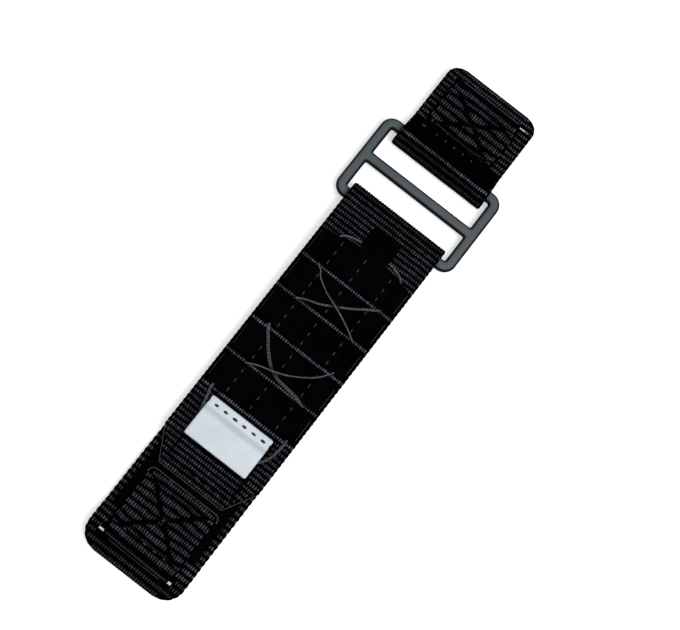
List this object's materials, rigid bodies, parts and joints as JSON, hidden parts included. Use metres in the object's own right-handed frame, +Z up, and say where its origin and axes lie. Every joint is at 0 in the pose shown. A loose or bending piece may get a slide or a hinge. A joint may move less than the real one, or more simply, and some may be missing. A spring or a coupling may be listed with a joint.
{
  "type": "nylon watch strap",
  "caption": "Woven watch strap with a hook-and-loop free end, ribbons laced by a cord, a blank pull label and a metal frame buckle.",
  "frame": {"origin": "centre of the outline on the table, below the strap's middle", "axes": "+Y along the strap from the long strap's rounded end to the short strap's end, +X across it, +Z up from the table towards the laced face"},
  "size_m": [0.031, 0.127, 0.0077],
  "materials": {
    "long_webbing": "ribbed woven nylon",
    "free_end_webbing": "ribbed woven nylon",
    "loop_pile": "soft matt pile",
    "hook_field": "rows of short hooks",
    "ribbon_1": "finely ribbed ribbon",
    "ribbon_2": "finely ribbed ribbon",
    "ribbon_3": "finely ribbed ribbon",
    "ribbon_4": "finely ribbed ribbon",
    "ribbon_5": "finely ribbed ribbon",
    "keeper_ribbon": "finely ribbed ribbon",
    "cord_sheath": "braided sheath",
    "label_header": "smooth pale fabric",
    "label_face": "smooth pale fabric",
    "buckle_paint": "satin blue-grey coating",
    "short_webbing": "ribbed woven nylon",
    "lower_lug_tab_webbing": "ribbed woven nylon",
    "upper_lug_tab_webbing": "ribbed woven nylon"
  },
  "bodies": {
    "long_strap": {"long_strap": "long_webbing", "loop_fastener": "loop_pile", "lower_lug_tab": "lower_lug_tab_webbing"},
    "free_end": {"free_end": "free_end_webbing", "hook_fastener": "hook_field", "cross_band_1": "ribbon_1", "cross_band_2": "ribbon_2", "cross_band_3": "ribbon_3", "cross_band_4": "ribbon_4", "cross_band_5": "ribbon_5", "cord_keeper": "keeper_ribbon", "lacing_cord": "cord_sheath", "pull_label_header": "label_header"},
    "pull_label": {"pull_label": "label_face"},
    "buckle": {"buckle_frame": "buckle_paint"},
    "short_strap": {"short_strap": "short_webbing", "upper_lug_tab": "upper_lug_tab_webbing"}
  },
  "joints": [
    {"name": "free_end_hinge", "type": "hinge", "parent": "long_strap", "child": "free_end", "pos_m": [0, 0.02466, 0.0048], "axis": [-1, 0, 0], "range_deg": [0, 100]},
    {"name": "pull_label_hinge", "type": "hinge", "parent": "free_end", "child": "pull_label", "pos_m": [0, -0.02671, 0.0049], "axis": [-1, 0, 0], "range_deg": [0, 100]},
    {"name": "buckle_hinge", "type": "hinge", "parent": "long_strap", "child": "buckle", "pos_m": [0, 0.02611, 0.0027], "axis": [1, 0, 0], "range_deg": [-60, 30]},
    {"name": "short_strap_hinge", "type": "hinge", "parent": "buckle", "child": "short_strap", "pos_m": [0, 0.04431, 0.0027], "axis": [1, 0, 0], "range_deg": [-60, 30]}
  ]
}
